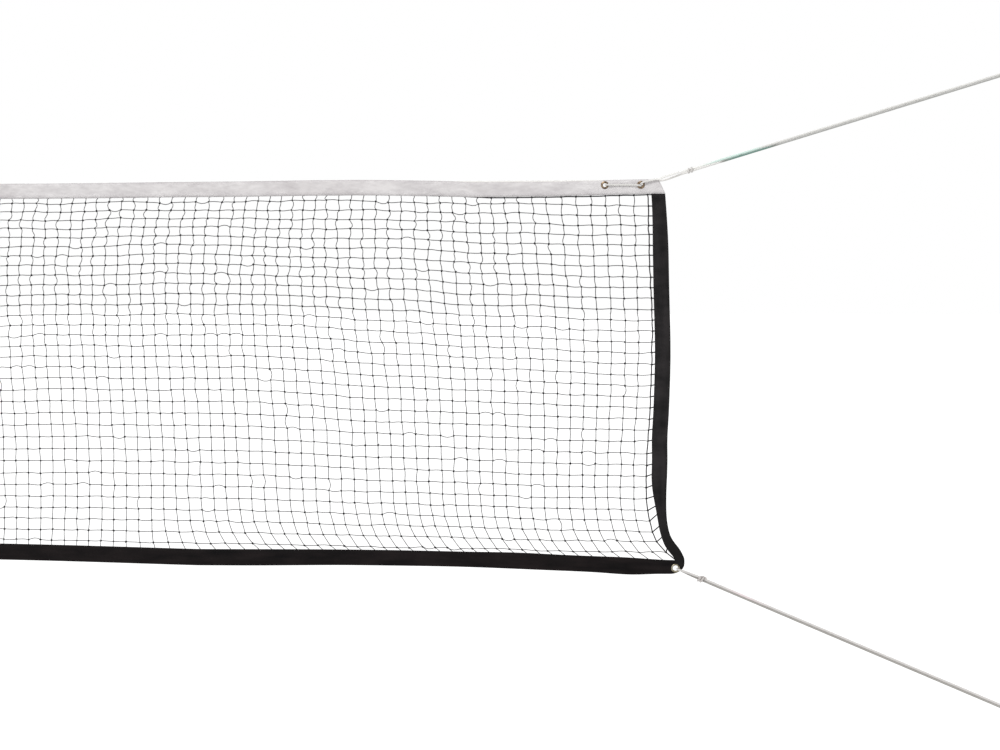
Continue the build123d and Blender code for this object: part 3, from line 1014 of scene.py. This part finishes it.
def spun_eyelet(hole, rim, thickness):
    """One eyelet round the Y axis, of two radii, through a band of a thickness."""
    front, back = -thickness / 2, thickness / 2
    width = rim - hole
    profile = [
        (hole + 0.05, 0.0), (hole, front - 0.2), (hole + 0.12, front - 0.5),
        (hole + 0.45, front - 0.78), (hole + 0.30 * width, front - 0.88),
        (hole + 0.55 * width, front - 0.74), (hole + 0.8 * width, front - 0.45),
        (rim - 0.1, front - 0.2), (rim, front + 0.02), (rim - 0.25, front + 0.05),
        (hole + 0.8, front + 0.1), (hole + 0.8, back - 0.1), (hole + 2.3, back + 0.05),
        (hole + 2.35, back + 0.35), (hole + 1.9, back + 0.7), (hole + 1.1, back + 0.85),
        (hole + 0.4, back + 0.7), (hole + 0.08, back + 0.3),
    ]
    bm = bmesh.new()
    ring = [bm.verts.new((r, y, 0)) for r, y in profile]
    edges = [bm.edges.new(pair) for pair in zip(ring, ring[1:] + ring[:1])]
    bmesh.ops.spin(bm, geom=ring + edges, cent=(0, 0, 0), axis=(0, 1, 0), angle=2 * pi, steps=56,
                   use_merge=True, use_duplicate=False)
    bmesh.ops.remove_doubles(bm, verts=bm.verts, dist=0.01)
    bmesh.ops.recalc_face_normals(bm, faces=bm.faces)
    for face in bm.faces:
        face.smooth = True
    return bm


def metal_material(name, dark, light, roughness):
    """Plated sheet metal, stained and finely scratched."""
    material, shader, add = plain_material(name, roughness, 1.0)
    place = add("TexCoord").outputs["Object"]
    stain = cloudy(add, place, 260.0, 4.0)
    wire(shader, "Base Color", ramp(add, stain, [(0.35, srgb(dark)), (0.65, srgb(light))]))
    rough = add("MapRange", i0=stain, i1=0.3, i2=0.7, i3=roughness + 0.15, i4=roughness - 0.05)
    wire(shader, "Roughness", rough.outputs[0])
    relief(add, shader, cloudy(add, place, 1800.0, 2.0), 0.15, 0.0001)
    return material


brass = metal_material("antique_brass", "4a3d30", "97836c", 0.42)
nickel = metal_material("nickel_plate", "57513f", "9b9482", 0.33)
TOP_EYELET, CORNER_EYELET = (3.7, 7.5, 5.5), (5.4, 8.5, 4.4)  # hole, rim, band
for name, sizes, x, z, finish, body, slot in (
    ("inner_eyelets", TOP_EYELET, HALF - INNER_EYELET, -EYELET_DROP, brass, "headband", "brass"),
    ("outer_eyelets", TOP_EYELET, HALF - OUTER_EYELET, -EYELET_DROP, brass, "headband", "brass"),
    ("corner_eyelets", CORNER_EYELET, HALF + CORNER_OUT, CORNER_HEIGHT, nickel, "curtain",
     "nickel"),
):
    pair = bmesh.new()
    for sign in (-1, 1):
        one = spun_eyelet(*sizes)
        bmesh.ops.translate(one, vec=(sign * x, 0, z), verts=one.verts)
        pair.from_mesh(form_mesh(one, "one"))
    bmesh.ops.scale(pair, vec=(MM, MM, MM), verts=pair.verts)
    piece = shown("spun_" + name, form_mesh(pair, name), finish, body)
    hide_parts(name)

# ---------------------------------------------------------------------------------------
# Floor and light: a pale floor under the net, an even sky and two soft lamps. The camera
# and reflections see the sky and the floor white, while the light that they give is less.

FLOOR = -1.56
SKY_LIGHT = 0.62
LAMPS = (  # name, strength and the way it is turned
    ("key", 1.55, (radians(52), 0, radians(-28))),
    ("fill", 0.75, (radians(58), 0, radians(150))),
)


def seen(add):
    """1 for what the camera sees, straight, mirrored or through, and 0 for other light."""
    path = add("LightPath")
    rays = calc(add, "MAXIMUM", path.outputs["Is Camera Ray"], path.outputs["Is Glossy Ray"])
    return calc(add, "MAXIMUM", rays, path.outputs["Is Transmission Ray"])


bm = bmesh.new()
bmesh.ops.create_grid(bm, x_segments=1, y_segments=1, size=60,
                      matrix=Matrix.Translation((0, 0, FLOOR)))
floor = placed("floor", form_mesh(bm, "floor"))
floor_material, shader, add = plain_material("floor", 0.9)
shader.inputs["Base Color"].default_value = (0.8, 0.8, 0.8, 1)
shader.inputs["Emission Color"].default_value = (1, 1, 1, 1)
wire(shader, "Emission Strength", calc(add, "MULTIPLY", seen(add), 0.3))
floor.data.materials.append(floor_material)

world = bpy.data.worlds.new("sky")
world.use_nodes = True
bpy.context.scene.world = world
add = adder(world.node_tree)
sky = world.node_tree.nodes["Background"]
sky.inputs["Color"].default_value = (1, 1, 1, 1)
wire(sky, "Strength", add("MapRange", i0=seen(add), i3=SKY_LIGHT, i4=1.0).outputs[0])

for name, strength, turn in LAMPS:
    lamp = bpy.data.lights.new(name, "SUN")
    lamp.energy = strength
    lamp.angle = radians(25)
    placed(name, lamp).rotation_euler = turn

bpy.context.scene.view_settings.view_transform = "Standard"
